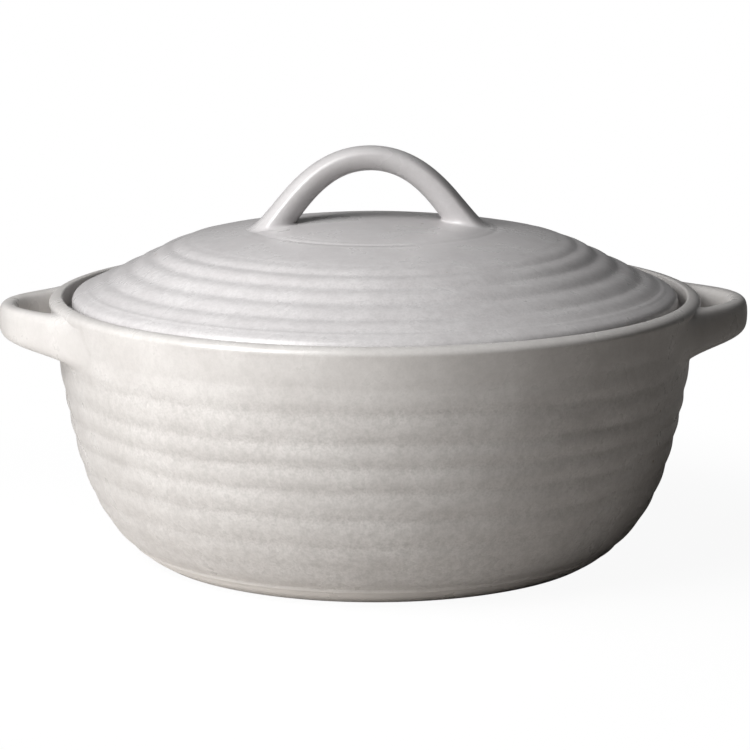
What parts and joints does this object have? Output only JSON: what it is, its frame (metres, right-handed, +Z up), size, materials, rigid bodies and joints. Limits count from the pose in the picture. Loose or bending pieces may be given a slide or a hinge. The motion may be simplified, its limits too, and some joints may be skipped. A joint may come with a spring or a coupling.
{
  "type": "lidded casserole dish",
  "caption": "Round ringed stoneware casserole dish with lug handles at its sides and a domed lid, carried by an arch handle, that lies on a ledge inside the rim and lifts off.",
  "frame": {"origin": "centre of the foot, on the surface that the dish stands on", "axes": "+Z up along the axis of the bowl and of the lid, +X through the lug handles and along the lid's arch"},
  "size_m": [0.3, 0.26, 0.1633],
  "materials": {
    "body_glaze": "satin pale grey stoneware glaze",
    "lid_glaze": "satin pale grey stoneware glaze"
  },
  "bodies": {
    "dish": {"dish_bowl": "body_glaze", "left_handle": "body_glaze", "right_handle": "body_glaze"},
    "lid": {"lid": "lid_glaze", "lid_handle": "lid_glaze"}
  },
  "joints": [
    {"name": "lid_lift", "type": "slide", "parent": "dish", "child": "lid", "axis": [0, 0, 1], "range_m": [0, 0.12]}
  ]
}
